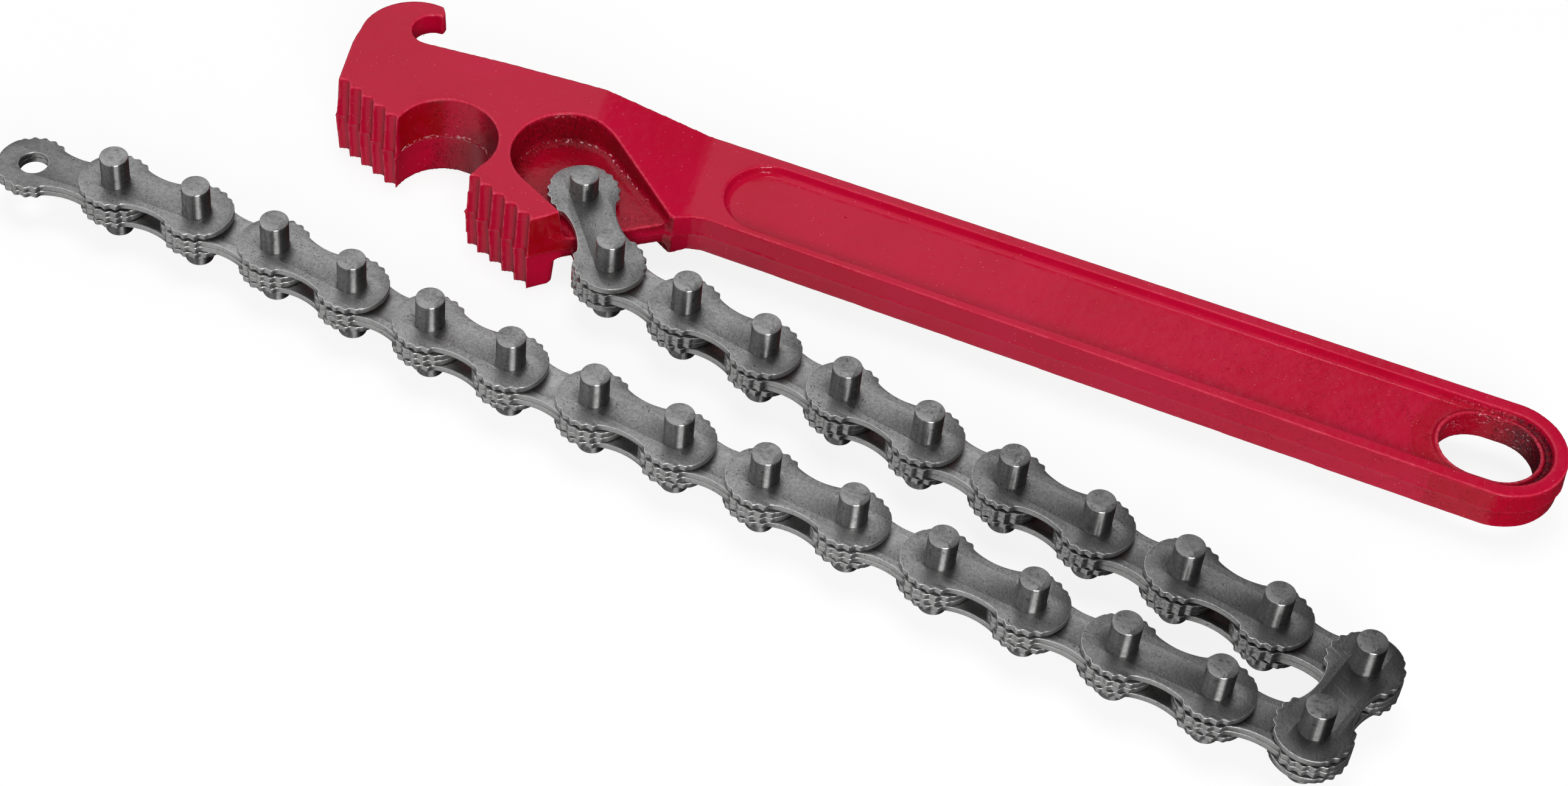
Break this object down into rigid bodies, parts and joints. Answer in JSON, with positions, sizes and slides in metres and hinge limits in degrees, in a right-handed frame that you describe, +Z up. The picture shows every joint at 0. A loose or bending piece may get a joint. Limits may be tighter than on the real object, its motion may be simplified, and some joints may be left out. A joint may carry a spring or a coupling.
{
  "type": "chain filter wrench",
  "caption": "Chain wrench for oil filters and pipes: a red cast handle with serrated jaws and a double hook, and a flat toothed steel chain pinned in its head.",
  "frame": {"origin": "the middle of the wrench's footprint, on the surface that it lies on", "axes": "+X along the handle from the head to the tail, +Y across it towards the hook, +Z up through its thickness"},
  "size_m": [0.2684, 0.0912, 0.017],
  "materials": {
    "casting": "gloss red paint on a rough casting",
    "chain": "dull grey tumbled steel",
    "pin": "bare steel"
  },
  "bodies": {
    "handle": {"handle": "casting"},
    "link_01": {"link_01_upper_plate": "chain", "link_01_lower_plate_and_pin": "chain", "anchor_pin": "pin"},
    "link_02": {"link_02_upper_plate": "chain", "link_02_lower_plate": "chain"},
    "link_03": {"link_03_upper_plate": "chain", "link_03_lower_plate_and_pins": "chain"},
    "link_04": {"link_04_upper_plate": "chain", "link_04_lower_plate": "chain"},
    "link_05": {"link_05_upper_plate": "chain", "link_05_lower_plate_and_pins": "chain"},
    "link_06": {"link_06_upper_plate": "chain", "link_06_lower_plate": "chain"},
    "link_07": {"link_07_upper_plate": "chain", "link_07_lower_plate_and_pins": "chain"},
    "link_08": {"link_08_upper_plate": "chain", "link_08_lower_plate": "chain"},
    "link_09": {"link_09_upper_plate": "chain", "link_09_lower_plate_and_pins": "chain"},
    "link_10": {"link_10_upper_plate": "chain", "link_10_lower_plate": "chain"},
    "link_11": {"link_11_upper_plate": "chain", "link_11_lower_plate_and_pins": "chain"},
    "link_12": {"link_12_upper_plate": "chain", "link_12_lower_plate": "chain"},
    "link_13": {"link_13_upper_plate": "chain", "link_13_lower_plate_and_pins": "chain"},
    "link_14": {"link_14_upper_plate": "chain", "link_14_lower_plate": "chain"},
    "link_15": {"link_15_upper_plate": "chain", "link_15_lower_plate_and_pins": "chain"},
    "link_16": {"link_16_upper_plate": "chain", "link_16_lower_plate": "chain"},
    "link_17": {"link_17_upper_plate": "chain", "link_17_lower_plate_and_pins": "chain"},
    "link_18": {"link_18_upper_plate": "chain", "link_18_lower_plate": "chain"},
    "link_19": {"link_19_upper_plate": "chain", "link_19_lower_plate_and_pins": "chain"},
    "link_20": {"link_20_upper_plate": "chain", "link_20_lower_plate": "chain"},
    "link_21": {"link_21_upper_plate": "chain", "link_21_lower_plate_and_pins": "chain"},
    "link_22": {"link_22_upper_plate": "chain", "link_22_lower_plate": "chain"},
    "link_23": {"link_23_upper_plate": "chain", "link_23_lower_plate_and_pins": "chain"},
    "link_24": {"link_24_upper_plate": "chain", "link_24_lower_plate": "chain"},
    "link_25": {"link_25_upper_plate": "chain", "link_25_lower_plate_and_pins": "chain"},
    "link_26": {"link_26_upper_plate": "chain", "link_26_lower_plate": "chain"}
  },
  "joints": [
    {"name": "pin_01_hinge", "type": "hinge", "parent": "handle", "child": "link_01", "pos_m": [-0.03679, 0.01766, 0.0085], "axis": [0, 0, 1], "range_deg": [-8, 0]},
    {"name": "pin_02_hinge", "type": "hinge", "parent": "link_01", "child": "link_02", "pos_m": [-0.02651, 0.0054, 0.0085], "axis": [0, 0, 1], "range_deg": [-2, 1]},
    {"name": "pin_03_hinge", "type": "hinge", "parent": "link_02", "child": "link_03", "pos_m": [-0.01087, 0.00202, 0.0085], "axis": [0, 0, 1], "range_deg": [-2, 1]},
    {"name": "pin_04_hinge", "type": "hinge", "parent": "link_03", "child": "link_04", "pos_m": [0.00478, -0.00134, 0.0085], "axis": [0, 0, 1], "range_deg": [-1, 1]},
    {"name": "pin_05_hinge", "type": "hinge", "parent": "link_04", "child": "link_05", "pos_m": [0.02045, -0.00455, 0.0085], "axis": [0, 0, 1], "range_deg": [-1, 2]},
    {"name": "pin_06_hinge", "type": "hinge", "parent": "link_05", "child": "link_06", "pos_m": [0.03611, -0.00783, 0.0085], "axis": [0, 0, 1], "range_deg": [-1, 2]},
    {"name": "pin_07_hinge", "type": "hinge", "parent": "link_06", "child": "link_07", "pos_m": [0.05184, -0.01077, 0.0085], "axis": [0, 0, 1], "range_deg": [0, 3]},
    {"name": "pin_08_hinge", "type": "hinge", "parent": "link_07", "child": "link_08", "pos_m": [0.06751, -0.01401, 0.0085], "axis": [0, 0, 1], "range_deg": [0, 6]},
    {"name": "pin_09_hinge", "type": "hinge", "parent": "link_08", "child": "link_09", "pos_m": [0.08326, -0.01679, 0.0085], "axis": [0, 0, 1], "range_deg": [0, 12]},
    {"name": "pin_10_hinge", "type": "hinge", "parent": "link_09", "child": "link_10", "pos_m": [0.09897, -0.01982, 0.0085], "axis": [0, 0, 1], "range_deg": [0, 24]},
    {"name": "pin_11_hinge", "type": "hinge", "parent": "link_10", "child": "link_11", "pos_m": [0.11466, -0.02298, 0.0085], "axis": [0, 0, 1], "range_deg": [0, 40]},
    {"name": "pin_12_hinge", "type": "hinge", "parent": "link_11", "child": "link_12", "pos_m": [0.1109, -0.03853, 0.0085], "axis": [0, 0, 1], "range_deg": [0, 40]},
    {"name": "pin_13_hinge", "type": "hinge", "parent": "link_12", "child": "link_13", "pos_m": [0.09492, -0.03764, 0.0085], "axis": [0, 0, 1], "range_deg": [0, 20]},
    {"name": "pin_14_hinge", "type": "hinge", "parent": "link_13", "child": "link_14", "pos_m": [0.07902, -0.03585, 0.0085], "axis": [0, 0, 1], "range_deg": [0, 20]},
    {"name": "pin_15_hinge", "type": "hinge", "parent": "link_14", "child": "link_15", "pos_m": [0.06316, -0.03377, 0.0085], "axis": [0, 0, 1], "range_deg": [0, 20]},
    {"name": "pin_16_hinge", "type": "hinge", "parent": "link_15", "child": "link_16", "pos_m": [0.04726, -0.03193, 0.0085], "axis": [0, 0, 1], "range_deg": [0, 20]},
    {"name": "pin_17_hinge", "type": "hinge", "parent": "link_16", "child": "link_17", "pos_m": [0.03141, -0.02976, 0.0085], "axis": [0, 0, 1], "range_deg": [0, 20]},
    {"name": "pin_18_hinge", "type": "hinge", "parent": "link_17", "child": "link_18", "pos_m": [0.01551, -0.02797, 0.0085], "axis": [0, 0, 1], "range_deg": [0, 20]},
    {"name": "pin_19_hinge", "type": "hinge", "parent": "link_18", "child": "link_19", "pos_m": [-0.0004, -0.02624, 0.0085], "axis": [0, 0, 1], "range_deg": [0, 20]},
    {"name": "pin_20_hinge", "type": "hinge", "parent": "link_19", "child": "link_20", "pos_m": [-0.01627, -0.02424, 0.0085], "axis": [0, 0, 1], "range_deg": [0, 20]},
    {"name": "pin_21_hinge", "type": "hinge", "parent": "link_20", "child": "link_21", "pos_m": [-0.03219, -0.02262, 0.0085], "axis": [0, 0, 1], "range_deg": [-1, 20]},
    {"name": "pin_22_hinge", "type": "hinge", "parent": "link_21", "child": "link_22", "pos_m": [-0.04804, -0.02048, 0.0085], "axis": [0, 0, 1], "range_deg": [-2, 20]},
    {"name": "pin_23_hinge", "type": "hinge", "parent": "link_22", "child": "link_23", "pos_m": [-0.06387, -0.01811, 0.0085], "axis": [0, 0, 1], "range_deg": [-5, 20]},
    {"name": "pin_24_hinge", "type": "hinge", "parent": "link_23", "child": "link_24", "pos_m": [-0.07968, -0.01569, 0.0085], "axis": [0, 0, 1], "range_deg": [-12, 20]},
    {"name": "pin_25_hinge", "type": "hinge", "parent": "link_24", "child": "link_25", "pos_m": [-0.09561, -0.01416, 0.0085], "axis": [0, 0, 1], "range_deg": [-30, 20]},
    {"name": "pin_26_hinge", "type": "hinge", "parent": "link_25", "child": "link_26", "pos_m": [-0.11161, -0.01388, 0.0085], "axis": [0, 0, 1], "range_deg": [-30, 20]}
  ]
}
